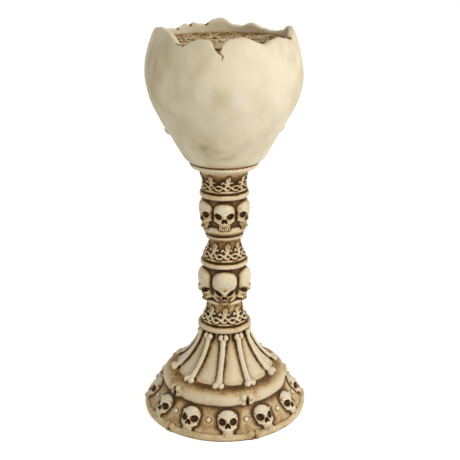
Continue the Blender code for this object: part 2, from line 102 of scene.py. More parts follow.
def turned(r, z, outline):
    """The solid that the (radius, height) outline sweeps round the axis."""
    best = np.full(r.shape, 1e9, dtype=np.float32)
    inside = np.zeros(r.shape, dtype=bool)
    for (r0, z0), (r1, z1) in zip(outline, outline[1:] + outline[:1]):
        er, ez = r1 - r0, z1 - z0
        wr, wz = r - r0, z - z0
        share = np.clip((wr * er + wz * ez) / (er * er + ez * ez + 1e-12), 0.0, 1.0)
        best = np.minimum(best, (wr - er * share) ** 2 + (wz - ez * share) ** 2)
        if z0 != z1:
            inside ^= ((z0 > z) != (z1 > z)) & (r < (z - z0) / ez * er + r0)
    return np.where(inside, -1.0, 1.0).astype(np.float32) * np.sqrt(best)


def sector(x, y, count, start):
    """Turns every point into the front sector of count equal ones. Gives x, outward y, and the sector's number."""
    pitch = 2.0 * math.pi / count
    angle = np.arctan2(x, -y) - math.radians(start)
    number = np.round(angle / pitch)
    turned_by = angle - number * pitch
    radius = np.hypot(x, y)
    return radius * np.sin(turned_by), radius * np.cos(turned_by), np.mod(number, count)


def leant(out, up, degrees):
    """Turns outward and upward lengths into lengths out of and up a face that leans back by an angle."""
    c, s = math.cos(math.radians(degrees)), math.sin(math.radians(degrees))
    return c * out + s * up, c * up - s * out


def skull_form(x, y, z, number, height, width, jaw, depth, crown, eye_x, eye_z, eye_wide, eye_tall, eye_lean, nose_z,
               recede):
    """A skull without a lower jaw, its hollows, and the wash on its teeth: x across, y out of the face, z up.

    The height is in millimetres, eye_lean in degrees, and all other sizes are shares of the height. The point
    (0, 0, 0) is level with the eyes, and number makes each skull of a ring a little different.
    """
    x, y, z = x / height, y / height, z / height + eye_z
    y = y + recede * np.maximum(eye_z - z, 0.0)
    x = x + np.sin(number * 2.4) * 0.02 * (z - 0.3)
    side = np.abs(x)
    face_y, braincase_foot = 0.365, 0.29
    over = z - crown
    over = np.where(over > 0.0, over, over * (1.0 - crown) / (crown - braincase_foot))
    skull = pebble(x, y, over, (0.0, face_y - depth, 0.0), (0.425 * width, depth, 1.0 - crown))
    skull = join(skull, pebble(x, y, z, (0.0, 0.06, eye_z - 0.08), (0.39 * width, 0.285, 0.20)), 0.06)
    cheek = eye_z - 0.175
    skull = join(skull, rod(side, y, z, (0.335 * width, 0.15, cheek), (0.18, 0.28, cheek - 0.07), 0.06), 0.05)
    skull = join(skull, pebble(x, y, z, (0.0, 0.12, 0.27), (0.215 * jaw, 0.255, 0.23)), 0.05)
    skull = join(skull, pebble(x, y, z, (0.0, 0.13, 0.12), (0.20 * jaw, 0.225, 0.105)), 0.04)
    brow_z = eye_z + eye_tall * 0.72
    lift = 0.25 * math.tan(math.radians(eye_lean))
    brow = rod(side, y, z, (0.02, 0.36, brow_z - 0.01), (0.31 * width, 0.24, brow_z + lift), 0.048, 0.034)
    skull = join(skull, brow, 0.04)
    skull = join(skull, rod(x, y, z, (0.0, 0.36, brow_z), (0.0, 0.385, nose_z + 0.10), 0.035, 0.03), 0.03)
    skull = cut(skull, pebble(side, y, z, (0.46 * width, 0.14, eye_z), (0.07, 0.24, 0.12), 10.0), 0.05)
    skull = cut(skull, pebble(side, y, z, (0.315 * width, 0.24, cheek - 0.175), (0.085, 0.24, 0.085)), 0.05)
    eyes = pebble(side, y, z, (eye_x, 0.38, eye_z), (eye_wide, 0.24, eye_tall), eye_lean)
    nose_share = min(1.0, eye_z / 0.52)
    nose = pebble(side, y, z, (0.045 * nose_share, 0.40, nose_z), (0.046 * nose_share, 0.16, 0.096 * nose_share), 22.0)
    hollows = np.minimum(eyes, nose)
    skull = cut(skull, hollows, 0.02)
    skull = join(skull, brow, 0.015)
    hollows = np.maximum(hollows, -brow)
    tooth_z, tooth_pitch = 0.05, 0.06
    for place in (0.03, 0.09, 0.148):
        front = face_y - place * place * 4.0
        skull = join(skull, pebble(side, y, z, (place * jaw, front, tooth_z), (0.0285 * jaw, 0.055, 0.058)), 0.008)
    slit = (0.5 + 0.5 * np.cos(2.0 * math.pi * side / (tooth_pitch * jaw))) ** 2
    row = np.clip(1.6 - np.abs(z - tooth_z) / 0.05, 0.0, 1.0) * (side < 0.19 * jaw) * (y > 0.2)
    rubbed_clean = 0.08 * np.clip((y - 0.15) / 0.1, 0.0, 1.0)
    return skull * height, hollows * height, row * (0.46 * slit - 0.30) - rubbed_clean


BAND_SKULL = dict(height=19.2, width=1.0, jaw=1.16, depth=0.34, crown=0.576, eye_x=0.216, eye_z=0.536,
                  eye_wide=0.152, eye_tall=0.126, eye_lean=30.0, nose_z=0.375, recede=0.0)
BAND_COUNT = 12
BAND_OUTLINE = [(38.0, 22.6), (42.8, 22.6), (44.0, 20.8), (48.0, 15.4), (52.8, 10.0), (55.6, 7.0), (57.2, 5.0),
                (57.4, 2.0), (38.0, 2.0)]


def band_skulls(x, y, z):
    """The twelve skulls: their form, their hollows and the wash on their teeth."""
    sx, sy, number = sector(x, y, BAND_COUNT, start=2.6)
    face, rise = leant(sy - 48.8, z - 9.3, 33.0)
    bow = np.sin(number * 1.7) * 0.05 * rise
    return skull_form(sx + bow, face, rise, number, **BAND_SKULL)


def band_studs(x, y, z):
    """The twelve round studs between the skulls, each in a thin ring."""
    sx, sy = sector(x, y, BAND_COUNT, start=17.6)[:2]
    face, rise = leant(sy - 51.4, z - 12.0, 37.0)
    reach = np.hypot(sx, rise)
    stud_radius, ring_radius, ring_thick = 1.85, 2.7, 0.45
    stud = np.sqrt(reach * reach + (face + 0.3) ** 2) - stud_radius
    ring = np.sqrt((reach - ring_radius) ** 2 + (face + 0.4) ** 2) - ring_thick
    return np.minimum(stud, ring)


def skull_band(x, y, z):
    """The whole band: the sloping ground with the skulls and studs on it, slightly lumpy."""
    form = turned(np.hypot(x, y), z, BAND_OUTLINE)
    form = join(form, band_skulls(x, y, z)[0], 0.35)
    form = join(form, band_studs(x, y, z), 0.25)
    return form + (grain(x, y, z, 2.2) - 0.5) * 0.16


def carve(name, form, low, high, cell, hidden, ground):
    """Turns a form between two corners into a mesh: a net of faces drawn over its surface, one point to a cell.

    The form is first measured once to a block of cells, and then cell by cell in the blocks near its surface.
    Faces that lie hidden inside other pieces are left out. ground gives the wash rubbed on by hand, with painted shade.
    """
    block, far = 5, 9.0
    low = np.array(low, dtype=np.float32)
    counts = [int(math.ceil((high[i] - low[i]) / (cell * block))) for i in range(3)]
    shape = [n * block + 1 for n in counts]
    centre = [low[i] + (np.arange(counts[i]) + 0.5) * cell * block for i in range(3)]
    cx, cy, cz = (a.ravel() for a in np.meshgrid(*centre, indexing="ij"))
    coarse = form(cx, cy, cz)
    near = np.abs(coarse) < cell * block * 1.15
    field = np.empty(shape, dtype=np.float32)

    def per_cell(values):
        return np.repeat(np.repeat(np.repeat(values.reshape(counts), block, 0), block, 1), block, 2)

    field[:-1, :-1, :-1] = per_cell(np.where(coarse < 0.0, -far, far))
    field[-1], field[:, -1], field[:, :, -1] = far, far, far
    where = np.zeros(shape, dtype=bool)
    corners = [(i, j, k) for i in (0, 1) for j in (0, 1) for k in (0, 1)]
    around = [tuple(slice(d, n - 1 + d) for d, n in zip(corner, shape)) for corner in corners]
    for view in around:
        where[view] |= per_cell(near)
    ix, iy, iz = np.nonzero(where)
    points = [low[0] + ix * cell, low[1] + iy * cell, low[2] + iz * cell]
    field[ix, iy, iz] = form(*(p.astype(np.float32) for p in points))

    lowest, highest = field[around[0]].copy(), field[around[0]].copy()
    for view in around[1:]:
        np.minimum(lowest, field[view], out=lowest)
        np.maximum(highest, field[view], out=highest)
    crossed = (lowest < 0.0) & (highest >= 0.0)
    gx, gy, gz = np.nonzero(crossed)
    index = np.full(crossed.shape, -1, dtype=np.int64)
    index[gx, gy, gz] = np.arange(len(gx))
    value = np.stack([field[view][gx, gy, gz] for view in around], 1)
    offset = np.array(corners, dtype=np.float32)
    total = np.zeros((len(gx), 3), dtype=np.float32)
    hits = np.zeros((len(gx), 1), dtype=np.float32)
    for a in range(8):
        for b in range(a + 1, 8):
            if np.abs(offset[a] - offset[b]).sum() != 1.0:
                continue
            va, vb = value[:, a], value[:, b]
            crosses = (va < 0.0) != (vb < 0.0)
            share = np.where(crosses, va / np.where(crosses, va - vb, 1.0), 0.0)[:, None]
            total += np.where(crosses[:, None], offset[a] + (offset[b] - offset[a]) * share, 0.0)
            hits += crosses[:, None]
    vertices = low + (np.stack([gx, gy, gz], 1) + total / hits) * cell

    faces = []
    for axis in range(3):
        u, v = (axis + 1) % 3, (axis + 2) % 3
        first = [slice(None)] * 3
        second = [slice(None)] * 3
        first[axis], second[axis] = slice(0, -1), slice(1, None)
        a, b = field[tuple(first)], field[tuple(second)]
        edge = (a < 0.0) != (b < 0.0)
        for side, last in ((u, 0), (u, -1), (v, 0), (v, -1)):
            ends = [slice(None)] * 3
            ends[side] = last
            edge[tuple(ends)] = False
        place = np.array(np.nonzero(edge))
        flipped = a[tuple(place)] < 0.0
        points = []
        for du, dv in ((-1, -1), (0, -1), (0, 0), (-1, 0)):
            spot = place.copy()
            spot[u] += du
            spot[v] += dv
            points.append(index[tuple(spot)])
        quad = np.stack(points, 1)
        quad[~flipped] = quad[~flipped][:, ::-1]
        faces.append(quad)
    faces = np.concatenate(faces)
    faces = faces[(faces >= 0).all(1)]
    faces = faces[~hidden(*vertices.T)[faces].all(1)]
    used = np.zeros(len(vertices), dtype=bool)
    used[faces] = True
    renumber = np.cumsum(used) - 1
    finished(name, vertices[used], renumber[faces], form, ground)


# Distances in millimetres with their weights, for how closed in a point is: this sets its painted shade and brown wash.
CLOSED_IN = ((0.6, 0.32), (1.6, 0.42), (3.6, 0.34), (7.5, 0.18))


def finished(name, vertices, faces, form=None, ground=None, wash_and_shade=None, grime=None):
    """Makes the object, with how much brown wash and painted shade, and how much grey grime, each of its points holds.

    Where a form is given, the wash and painted shade come from how closed in a point is: how near the surface is again
    at each of the distances out from it that CLOSED_IN lists with their weights. This stands for the shade that falls
    in hollows as well as for the brown wash in them.
    """
    mesh = bpy.data.meshes.new(name)
    mesh.vertices.add(len(vertices))
    mesh.vertices.foreach_set("co", (vertices * 0.001).astype(np.float32).ravel())
    mesh.loops.add(faces.size)
    mesh.loops.foreach_set("vertex_index", faces.astype(np.int32).ravel())
    mesh.polygons.add(len(faces))
    mesh.polygons.foreach_set("loop_start", np.arange(0, faces.size, 4, dtype=np.int32))
    mesh.polygons.foreach_set("loop_total", np.full(len(faces), 4, dtype=np.int32))
    mesh.polygons.foreach_set("use_smooth", np.ones(len(faces), dtype=bool))
    mesh.update(calc_edges=True)
    mesh.validate()
    piece = bpy.data.objects.new(name, mesh)
    bpy.context.scene.collection.objects.link(piece)
    if form is not None:
        normals = np.empty(len(mesh.vertices) * 3, dtype=np.float32)
        mesh.vertex_normals.foreach_get("vector", normals)
        normals = normals.reshape(-1, 3)
        wash_and_shade = np.zeros(len(vertices), dtype=np.float32)
        # Painted shade and brown wash: the more closed in a point is, the darker it is painted.
        for reach, weight in CLOSED_IN:
            away = (vertices + normals * reach).astype(np.float32)
            wash_and_shade += weight * np.clip(1.0 - form(*away.T) / reach, 0.0, 1.2)
        wash_and_shade += ground(*vertices.astype(np.float32).T)
    for attribute, values in (("wash_and_shade", wash_and_shade), ("grime", grime)):
        if values is not None:
            layer = mesh.attributes.new(attribute, "FLOAT", "POINT")
            layer.data.foreach_set("value", np.clip(values, 0.0, 1.0).astype(np.float32))
    mesh.materials.append(aged_ivory())
    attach(piece, "root")
    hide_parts("candle_holder")


def aged_ivory():
    """Ivory paint with a brown wash and painted shade in every hollow, grey grime on the bowl, and a dry matt surface
    with fine pits.
    """
    if "aged_ivory" in bpy.data.materials:
        return bpy.data.materials["aged_ivory"]
    material = bpy.data.materials.new("aged_ivory")
    material.use_nodes = True
    tree = material.node_tree
    nodes, links = tree.nodes, tree.links
    shader = nodes["Principled BSDF"]
    where = nodes.new("ShaderNodeTexCoord")

    def painted(attribute):
        """How much wash and painted shade, or grey grime, the points hold."""
        node = nodes.new("ShaderNodeAttribute")
        node.attribute_name = attribute
        return node.outputs["Fac"]

    def cloud(scale, detail, roughness=0.55):
        """Noise from 0 to 1, with the scale given as lumps to the metre."""
        node = nodes.new("ShaderNodeTexNoise")
        node.inputs["Scale"].default_value = scale
        node.inputs["Detail"].default_value = detail
        node.inputs["Roughness"].default_value = roughness
        links.new(where.outputs["Object"], node.inputs["Vector"])
        return node.outputs["Fac"]

    def steps(factor, stops):
        """A colour ramp with the (place, colour) stops."""
        node = nodes.new("ShaderNodeValToRGB")
        ramp = node.color_ramp
        while len(ramp.elements) < len(stops):
            ramp.elements.new(0.5)
        for element, (place, colour) in zip(ramp.elements, stops):
            element.position = place
            element.color = (*colour, 1.0)
        links.new(factor, node.inputs["Fac"])
        return node.outputs["Color"]

    def sum_of(a, b, scale):
        """The first value, which may be a plain number, and the second times a scale."""
        node = nodes.new("ShaderNodeMath")
        node.operation = "MULTIPLY_ADD"
        links.new(b, node.inputs[0])
        node.inputs[1].default_value = scale
        if isinstance(a, float):
            node.inputs[2].default_value = a
        else:
            links.new(a, node.inputs[2])
        return node.outputs[0]

    ivory = steps(cloud(30.0, 4.0), [(0.32, (0.68, 0.61, 0.45)), (0.5, (0.77, 0.69, 0.51)),
                                     (0.66, (0.80, 0.73, 0.57))])
    wear = sum_of(sum_of(0.25, cloud(420.0, 5.0, 0.65), 0.9), cloud(80.0, 3.0), 0.6)
    depth = nodes.new("ShaderNodeMath")
    depth.operation = "MULTIPLY"
    links.new(painted("wash_and_shade"), depth.inputs[0])
    links.new(wear, depth.inputs[1])
    # The brown of the wash, which also paints the shade in the hollows.
    brown = steps(depth.outputs[0], [(0.12, (1.0, 1.0, 1.0)), (0.33, (0.79, 0.67, 0.48)), (0.52, (0.43, 0.28, 0.13)),
                                     (0.72, (0.165, 0.085, 0.028)), (0.95, (0.055, 0.026, 0.008))])
    grey = steps(painted("grime"), [(0.0, (1.0, 1.0, 1.0)), (0.5, (0.80, 0.77, 0.67)), (1.0, (0.52, 0.48, 0.36))])
    colour = ivory
    for layer in (brown, grey):
        mix = nodes.new("ShaderNodeMix")
        mix.data_type = "RGBA"
        mix.blend_type = "MULTIPLY"
        mix.inputs["Factor"].default_value = 1.0
        links.new(colour, mix.inputs["A"])
        links.new(layer, mix.inputs["B"])
        colour = mix.outputs["Result"]
    links.new(colour, shader.inputs["Base Color"])
    shader.inputs["Specular IOR Level"].default_value = 0.25
    rough = steps(cloud(120.0, 3.0), [(0.3, (0.42, 0.42, 0.42)), (0.7, (0.62, 0.62, 0.62))])
    links.new(rough, shader.inputs["Roughness"])
    bump = nodes.new("ShaderNodeBump")
    bump.inputs["Strength"].default_value = 0.12
    bump.inputs["Distance"].default_value = 0.0004
    links.new(sum_of(cloud(900.0, 4.0), cloud(180.0, 4.0), 0.8), bump.inputs["Height"])
    links.new(bump.outputs["Normal"], shader.inputs["Normal"])
    return material


def band_ground(x, y, z):
    """The wash on the low ground round the skulls and in their eyes and noses, with painted shade round the skulls,
    under the plate and near the foot.
    """
    low = np.clip(1.0 - np.abs(turned(np.hypot(x, y), z, BAND_OUTLINE)) / 0.8, 0.0, 1.0)
    form, hollows, teeth = band_skulls(x, y, z)
    # Painted shade, growing up towards the plate and down towards the foot.
    shade = np.clip((z - 13.0) / 7.0, 0.0, 1.0) + np.clip((9.0 - z) / 3.0, 0.0, 1.0)
    # Painted shadow round each skull, with some wash.
    edge = 0.25 * np.clip(1.0 - form / 1.2, 0.0, 1.0) + 0.40 * np.clip(1.0 - form / 4.0, 0.0, 1.0) ** 2
    # Painted shade under the plate's overhang.
    under = np.clip((z - 15.0) / 4.5, 0.0, 1.0) ** 2
    ground = (0.12 + 0.20 * grain(x, y, z, 5.0) + 0.10 * shade + edge + 0.45 * under) * low
    ground -= 0.16 * np.clip(1.0 - band_studs(x, y, z) / 1.2, 0.0, 1.0)
    # The eyes and noses are painted dark, with wash and painted shade.
    return 0.14 + ground + 0.95 * np.clip(0.5 - hollows / 0.5, 0.0, 1.0) + teeth


carve("skull_band", skull_band, (-62, -62, 1.4), (62, 62, 24.0), 0.46,
      hidden=lambda x, y, z: (np.hypot(x, y) < 42.6) | ((z < 3.4) & (np.hypot(x, y) < 57.6)), ground=band_ground)

# Foot bones
# Five long bones laid end to end round the edge of the foot. They are cast in one with it, out of the same painted
# resin, and end flush with the flat underside.
FOOT_OUTLINE = [(50.0, 6.2), (55.4, 6.2), (57.2, 3.6), (59.3, 1.6), (59.8, 0.6), (59.8, -2.0), (50.0, -2.0)]
FOOT_CIRCLE = 57.8
RING_BONES, HALF_BONE = 5, 36.0


def bone_ring(x, y, z, circle, height, thick, knob, start):
    """Five bones bent round a circle, each with two knobs at both of its ends. The first joint is at start."""
    sx, sy, number = sector(x, y, RING_BONES, start + HALF_BONE)
    lim = math.radians(HALF_BONE) - 0.72 * knob / circle
    angle = np.arctan2(sx, sy)
    held = np.clip(angle, -lim + 0.5 * knob / circle, lim - 0.5 * knob / circle)
    dx, dy = sx - circle * np.sin(held), sy - circle * np.cos(held)
    swell = thick * (0.86 + 0.18 * (np.abs(held) / lim) ** 6 + 0.05 * np.sin(number * 2.0 + held * 5.0))
    form = np.sqrt(dx * dx + dy * dy + (z - height) ** 2) - swell
    side = np.abs(sx)
    for up in (-1.0, 1.0):
        middle = (circle * math.sin(lim), circle * math.cos(lim) + 0.25 * knob, height + up * 0.80 * knob)
        form = join(form, pebble(side, sy, z, middle, (knob * 1.15, knob, knob * 0.92)), 1.2)
    return form


def foot_bones(x, y, z):
    """The foot's edge with its bones, cut off flat on the table. The joint on the left stands 10 degrees further on."""
    r = np.hypot(x, y)
    form = turned(r, z, FOOT_OUTLINE)
    angle = np.arctan2(x, -y)
    angle = angle - math.radians(10.3) * np.exp(-((np.degrees(angle) + 47.0) / 24.0) ** 2)
    bones = bone_ring(r * np.sin(angle), -r * np.cos(angle), z, FOOT_CIRCLE, height=2.1, thick=2.8, knob=2.4,
                      start=21.0)
    form = join(form, bones, 0.6)
    return np.maximum(form + (grain(x, y, z, 3.0) - 0.5) * 0.18, -z)


# The foot's wash holds painted shade in the crease inside the bones, and grows darker towards the bottom.
carve("foot_bones", foot_bones, (-62.4, -62.4, -0.6), (62.4, 62.4, 9.0), 0.56,
      hidden=lambda x, y, z: np.hypot(x, y) < 55.2,
      ground=lambda x, y, z: (0.22 + 0.14 * grain(x, y, z, 6.0)
                              + 0.50 * np.clip((FOOT_CIRCLE - np.hypot(x, y)) / 1.6, 0.0, 1.0)
                              + 0.25 * np.clip((2.0 - z) / 2.0, 0.0, 1.0)))

# Plate
# The round step over the skulls, cast in one with them. Its edge is a second ring of five stout bones, whose knobs
# meet in pairs at each joint.
PLATE_OUTLINE = [(33.0, 31.4), (36.4, 31.0), (39.0, 30.5), (41.6, 29.6), (43.8, 28.2), (45.3, 26.4), (45.9, 24.2),
                 (45.9, 21.8), (45.2, 19.6), (43.0, 18.8), (33.0, 18.8)]
PLATE_JOINT = 20.8


def plate(x, y, z):
    """The step with the necks, knobs and gaps of its bones, and a broadly uneven surface."""
    sx, sy = sector(x, y, RING_BONES, PLATE_JOINT)[:2]
    side = np.abs(sx)
    neck = 0.6 * np.exp(-((side - 6.4) / 2.4) ** 2) * np.clip((28.6 - z) / 2.0, 0.0, 1.0)
    form = turned(np.hypot(x, y) + neck, z, PLATE_OUTLINE)
    for level, size in ((25.4, 2.4), (21.2, 2.1)):
        form = join(form, pebble(side, sy, z, (2.5, 44.6, level), (size, size, size)), 0.4)
    form = cut(form, pebble(sx, sy, z, (0.0, 46.4, 20.8), (1.1, 3.0, 4.8)), 0.5)
    return form + (grain(x, y, z, 9.0) - 0.5) * 0.8 + (grain(x, y, z, 3.0) - 0.5) * 0.2


def plate_ground(x, y, z):
    """Wash with painted shade against the bell that fades out towards the edge, with more at the front, where it also
    stands for the knobs' shadows, wash and painted shade in the gaps, and painted shade underneath.
    """
    r = np.hypot(x, y)
    inner = np.clip((45.6 - r) / 6.5, 0.0, 1.0)
    front = np.clip(-y / 40.0, 0.0, 1.0)
    sx = sector(x, y, RING_BONES, PLATE_JOINT)[0]
    slit = np.exp(-(sx / 0.9) ** 2) * np.clip((26.6 - z) / 2.0, 0.0, 1.0) * (r > 42.5)
    rubbed = (0.26 + 0.18 * grain(x, y, z, 8.0) + 0.26 * front) * inner
    # The gaps between the bones and the plate's underside get painted shade.
    return 0.18 + rubbed + 0.4 * slit + 0.5 * np.clip((20.8 - z) / 1.4, 0.0, 1.0)


carve("plate", plate, (-48, -48, 18.4), (48, 48, 33.0), 0.60,
      hidden=lambda x, y, z: (np.hypot(x, y) < 34.5) | ((np.hypot(x, y) < 42.0) & (z < 23.0)), ground=plate_ground)

# Bell
# The hollow-sided bell over the plate. Ten long bones lean on it, knobs at the top and the bottom, and the panels
# between them are slightly rounded.
BELL_OUTLINE = [(12.0, 65.0), (14.6, 65.0), (15.4, 61.6), (16.8, 57.4), (19.2, 51.6), (22.6, 45.4), (27.0, 39.2),
                (31.6, 34.4), (35.4, 31.4), (36.6, 30.0), (36.6, 27.0), (12.0, 27.0)]
BELL_BONE_PITCH = 36.0
bell_heights = np.array([27.0, 31.4, 34.4, 39.2, 45.4, 51.6, 57.4, 61.6, 66.0], dtype=np.float32)
bell_radii = np.array([37.0, 35.4, 31.6, 27.0, 22.6, 19.2, 16.8, 15.4, 14.4], dtype=np.float32)


def bell_start(z):
    """How far down the bell a height is, and the angle of the front bone there, which leans to the left."""
    share = np.clip((62.0 - z) / 31.0, 0.0, 1.0)
    return share, -2.2 - 4.6 * share


def bell(x, y, z):
    """The bell with its rounded panels and its ten bones, whose shafts widen towards their ends."""
    r = np.hypot(x, y)
    share, start = bell_start(z)
    angle = np.degrees(np.arctan2(x, -y))
    bulge = np.cos(np.radians((angle - start) * 10.0))
    form = turned(r, z, BELL_OUTLINE) + bulge * 0.55 * np.clip((z - 30.0) / 4.0, 0.0, 1.0)
    number = np.round((angle - start) / BELL_BONE_PITCH)
    local = np.radians(angle - start - number * BELL_BONE_PITCH)
    sx, sy = r * np.sin(local), r * np.cos(local)
    sx = sx + np.sin(number * 2.1) * 0.5 * (share - 0.5)
    surface = np.interp(z, bell_heights, bell_radii).astype(np.float32)
    slope = (np.interp(z - 1.0, bell_heights, bell_radii) - np.interp(z + 1.0, bell_heights, bell_radii)) / 2.0
    square = 1.0 / np.sqrt(1.0 + slope * slope)
    thick = 1.9 + 0.3 * np.clip((z - 52.0) / 8.0, 0.0, 1.0) ** 2 + 0.6 * np.clip((40.0 - z) / 8.0, 0.0, 1.0) ** 2
    shaft = np.hypot(sx, (sy - surface - 0.8) * square) - thick
    shaft = np.maximum(shaft, np.maximum(z - 59.0, 32.6 - z))
    side = np.abs(sx)
    knobs = pebble(side, sy, z, (2.1, 37.9, 31.7), (2.2, 2.5, 2.2))
    knobs = np.minimum(knobs, pebble(side, sy, z, (1.85, 18.4, 60.2), (1.65, 2.0, 2.2), 20.0))
    return join(form, join(shaft, knobs, 1.3), 0.3) + (grain(x, y, z, 2.4) - 0.5) * 0.18


def bell_ground(x, y, z):
    """Darker towards the top of the bell and on the low ground along the bones, lighter in the middle of each panel and
    on the proud bones.
    """
    angle = np.degrees(np.arctan2(x, -y))
    panel = 0.5 - 0.5 * np.cos(np.radians((angle - bell_start(z)[1]) * 10.0))
    proud = np.hypot(x, y) - np.interp(z, bell_heights, bell_radii)
    low = np.clip(1.0 - np.abs(proud - 0.4) / 1.6, 0.0, 1.0)
    high = np.clip((z - 34.0) / 26.0, 0.0, 1.0)
    amount = (0.19 + 0.13 * high) * (1.0 - 0.6 * panel * (1.0 - high)) + 0.12 * np.clip((z - 56.0) / 7.0, 0.0, 1.0)
    return 0.08 + low * amount - 0.2 * np.clip((proud - 1.4) / 0.8, 0.0, 1.0)


carve("bell", bell, (-42, -42, 28.0), (42, 42, 64.5), 0.54,
      hidden=lambda x, y, z: (np.hypot(x, y) < 13.6) | (z < 28.8) | (z > 63.8), ground=bell_ground)

# Stem
# Two drums, carved with six skulls above and five below, between turned rings and three hollow-sided bands of
# knotwork. Each band has a braid along its foot, out of which leaves stand up with a curl to either side.
STEM_RADII = [
    (22.4, 188.0), (23.8, 187.4), (24.3, 186.3), (24.0, 185.0), (23.0, 183.9), (21.2, 183.2), (19.4, 182.6),
    (17.4, 180.6), (15.8, 178.2), (14.7, 175.4), (14.2, 172.4), (14.3, 170.4), (14.8, 169.5), (15.9, 169.2),
    (16.5, 168.4), (16.0, 167.6), (14.9, 167.1), (15.6, 166.7), (17.0, 166.2), (17.5, 165.0), (17.4, 163.6),
    (16.6, 162.6), (15.2, 162.1), (14.8, 161.0), (15.0, 157.0), (14.9, 150.0), (14.4, 144.5), (14.2, 142.8),
    (15.4, 142.2), (16.0, 141.0), (15.8, 139.0), (15.0, 137.2), (14.0, 136.1), (12.8, 135.7), (13.4, 135.2),
    (13.8, 134.2), (13.4, 132.7), (12.4, 131.7), (11.1, 131.0), (10.8, 129.6), (10.9, 127.0), (11.5, 124.4),
    (12.7, 121.4), (13.8, 119.5), (14.3, 118.8), (15.4, 118.5), (16.0, 117.7), (15.5, 116.9), (14.6, 116.4),
    (15.4, 115.9), (16.8, 115.4), (17.3, 114.2), (17.2, 112.8), (16.2, 111.8), (15.0, 111.3), (14.6, 110.0),
    (15.0, 106.0), (15.0, 99.0), (14.4, 92.0), (13.4, 88.4), (13.2, 87.2), (14.6, 86.7), (15.0, 85.6),
    (14.6, 84.3), (13.4, 83.3), (12.4, 82.8), (12.1, 81.0), (12.3, 78.0), (13.1, 74.5), (14.4, 71.6),
    (15.4, 70.1), (16.6, 69.8), (17.2, 69.0), (16.8, 68.3), (16.0, 67.9), (17.6, 67.5), (19.0, 67.0),
    (19.6, 65.8), (19.5, 64.4), (18.6, 63.4), (16.6, 62.9), (15.0, 62.6),
]
neck_heights = np.array([z for r, z in reversed(STEM_RADII)], dtype=np.float32)
neck_radii = np.array([r for r, z in reversed(STEM_RADII)], dtype=np.float32)


def stem_part(high, low):
    """The outline of the stem between two heights, closed inside the casting."""
    return [(9.0, high)] + [(r, z) for r, z in STEM_RADII if low <= z <= high] + [(9.0, low)]


KNOT_LEAVES = 8
STRAND_THICK, CURL_THICK = 0.76, 0.64
LEFT_CURL = [(-0.4, 0.40), (-1.7, 0.47), (-2.7, 0.58), (-3.5, 0.55), (-3.7, 0.46)]
RIGHT_CURL = [(0.2, 0.34), (1.6, 0.50), (2.6, 0.56), (3.4, 0.52)]


def knotwork(x, y, z, low, high, start, foot_radius):
    """The strands of one band, standing a little off its hollow side: a braid of two, and eight leaves."""
    sx, sy, number = sector(x, y, KNOT_LEAVES, start)
    surface = np.interp(z, neck_heights, neck_radii).astype(np.float32)
    deep = sy - surface
    tall = high - low
    half = math.pi * foot_radius / KNOT_LEAVES
    wave = np.pi * sx / half
    form = np.full(x.shape, 9.0, dtype=np.float32)
    for sign in (1.0, -1.0):
        line = low + tall * 0.19 + sign * tall * 0.13 * np.cos(wave)
        tilt = tall * 0.13 * np.pi / half * np.sin(wave)
        over = 0.25 + 0.4 * sign * np.sin(wave)
        strand = np.hypot((z - line) / np.sqrt(1.0 + tilt * tilt), deep - over) - STRAND_THICK
        form = np.minimum(form, strand)
    flat = sx - (0.10 + 0.10 * np.cos(number * 2.0)) * (z - low - tall * 0.5)
    leaf = pebble(flat, deep, z, (0.0, 0.25, low + tall * 0.70), (1.85, 1.25, tall * 0.24))
    leaf = join(leaf, rod(flat, deep, z, (0.0, 0.2, low + tall * 0.80), (0.0, 0.2, low + tall * 0.97), 1.0, 0.4), 0.4)
    leaf = cut(leaf, rod(flat, deep, z, (0.0, 1.6, low + tall * 0.64), (0.0, 1.4, low + tall * 0.82), 0.55), 0.2)
    stalk = rod(flat, deep, z, (0.2, 0.3, low + tall * 0.58), (-0.5, 0.4, low + tall * 0.20), 0.85)
    form = join(form, join(leaf, stalk, 0.3), 0.15)
    for points in (LEFT_CURL, RIGHT_CURL):
        for (u0, v0), (u1, v1) in zip(points, points[1:]):
            curl = rod(sx, deep, z, (u0, 0.4, low + tall * v0), (u1, 0.4, low + tall * v1), CURL_THICK)
            form = np.minimum(form, curl)
    return form


UPPER_SKULL = dict(height=19.6, width=0.93, jaw=1.08, depth=0.27, crown=0.565, eye_x=0.226, eye_z=0.525,
                   eye_wide=0.146, eye_tall=0.114, eye_lean=26.0, nose_z=0.36, recede=0.08)
LOWER_SKULL = dict(height=26.0, width=0.80, jaw=0.76, depth=0.235, crown=0.64, eye_x=0.190, eye_z=0.375,
                   eye_wide=0.142, eye_tall=0.066, eye_lean=30.0, nose_z=0.235, recede=0.25)


def skull_ring(x, y, z, count, kind, eye_level, set_out, lean):
    """A ring of upright skulls of one kind, set out from the axis with their eyes at one level."""
    sx, sy, number = sector(x, y, count, start=0.5)
    face, rise = leant(sy - set_out, z - eye_level, lean)
    return skull_form(sx, face, rise, number + count, **kind)


def upper_skulls(x, y, z):
    return skull_ring(x, y, z, count=6, kind=UPPER_SKULL, eye_level=152.0, set_out=11.7, lean=-2.0)


def lower_skulls(x, y, z):
    return skull_ring(x, y, z, count=5, kind=LOWER_SKULL, eye_level=95.2, set_out=9.4, lean=-6.0)


upper_outline = stem_part(188.0, 128.0)


def upper_stem(x, y, z):
    """The collar under the bowl, the highest band of knotwork and the upper drum, down to the neck below it."""
    form = turned(np.hypot(x, y), z, upper_outline)
    form = join(form, upper_skulls(x, y, z)[0], 0.3)
    form = join(form, knotwork(x, y, z, 169.4, 180.2, start=8.6, foot_radius=14.6), 0.2)
    return form + (grain(x, y, z, 2.0) - 0.5) * 0.14


